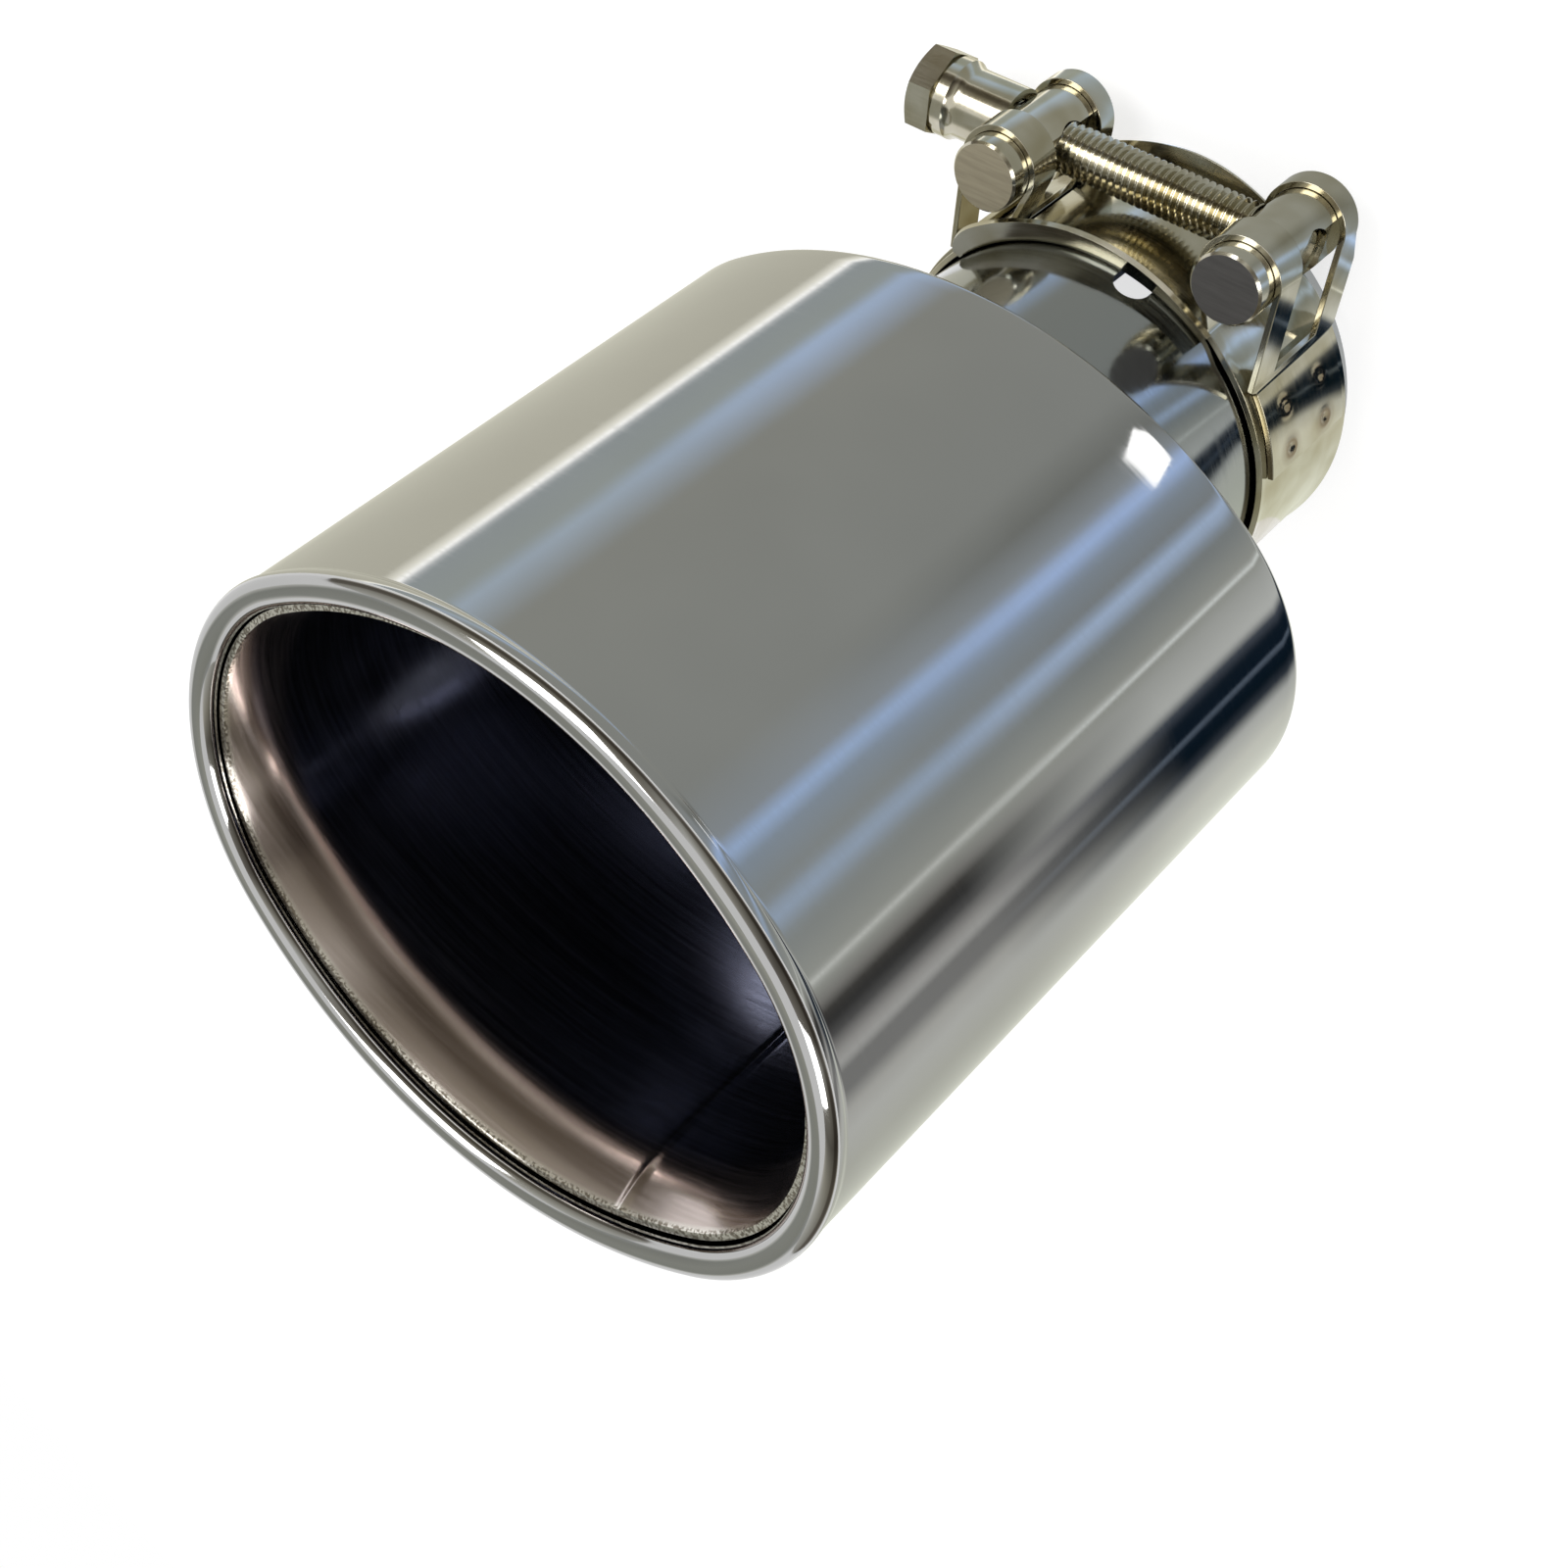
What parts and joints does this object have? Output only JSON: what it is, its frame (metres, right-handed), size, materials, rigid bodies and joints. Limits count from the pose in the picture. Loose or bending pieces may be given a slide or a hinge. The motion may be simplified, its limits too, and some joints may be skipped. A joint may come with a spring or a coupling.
{
  "type": "exhaust tip",
  "caption": "Oval slant-cut exhaust tip with a rolled lip, inner liner and slotted round inlet neck held by a bolt clamp.",
  "frame": {"origin": "centre of the inlet neck's open end", "axes": "+Z along the tip towards the outlet, +Y towards the clamp's bolt, +X from the bolt's head to its end"},
  "size_m": [0.1236, 0.0931, 0.1784],
  "materials": {
    "shell": "mirror polished, dark",
    "liner": "mirror polished, dark",
    "neck": "mirror polished, dark",
    "band": "bright rolled",
    "bridge": "bright rolled",
    "trunnion": "turned",
    "bolt": "bright",
    "sleeve": "turned"
  },
  "bodies": {
    "tip": {"tip_shell": "shell", "inner_liner": "liner", "inlet_neck": "neck", "clamp_band": "band", "bridge_plate": "bridge", "plain_trunnion": "trunnion", "threaded_trunnion": "trunnion"},
    "sleeve": {"spacer_sleeve": "sleeve"},
    "bolt": {"clamp_bolt": "bolt"}
  },
  "joints": [
    {"name": "bolt_travel", "type": "slide", "parent": "tip", "child": "sleeve", "axis": [-1, 0, 0], "range_m": [0, 0.01]},
    {"name": "bolt_turn", "type": "hinge", "parent": "sleeve", "child": "bolt", "pos_m": [-0.03945, 0.0404, 0.01595], "axis": [-1, 0, 0], "range_deg": [0, 2520]}
  ],
  "couplings": [
    {"joint": "bolt_travel", "follows": "bolt_turn", "m_per_rad": 0.00019894}
  ]
}
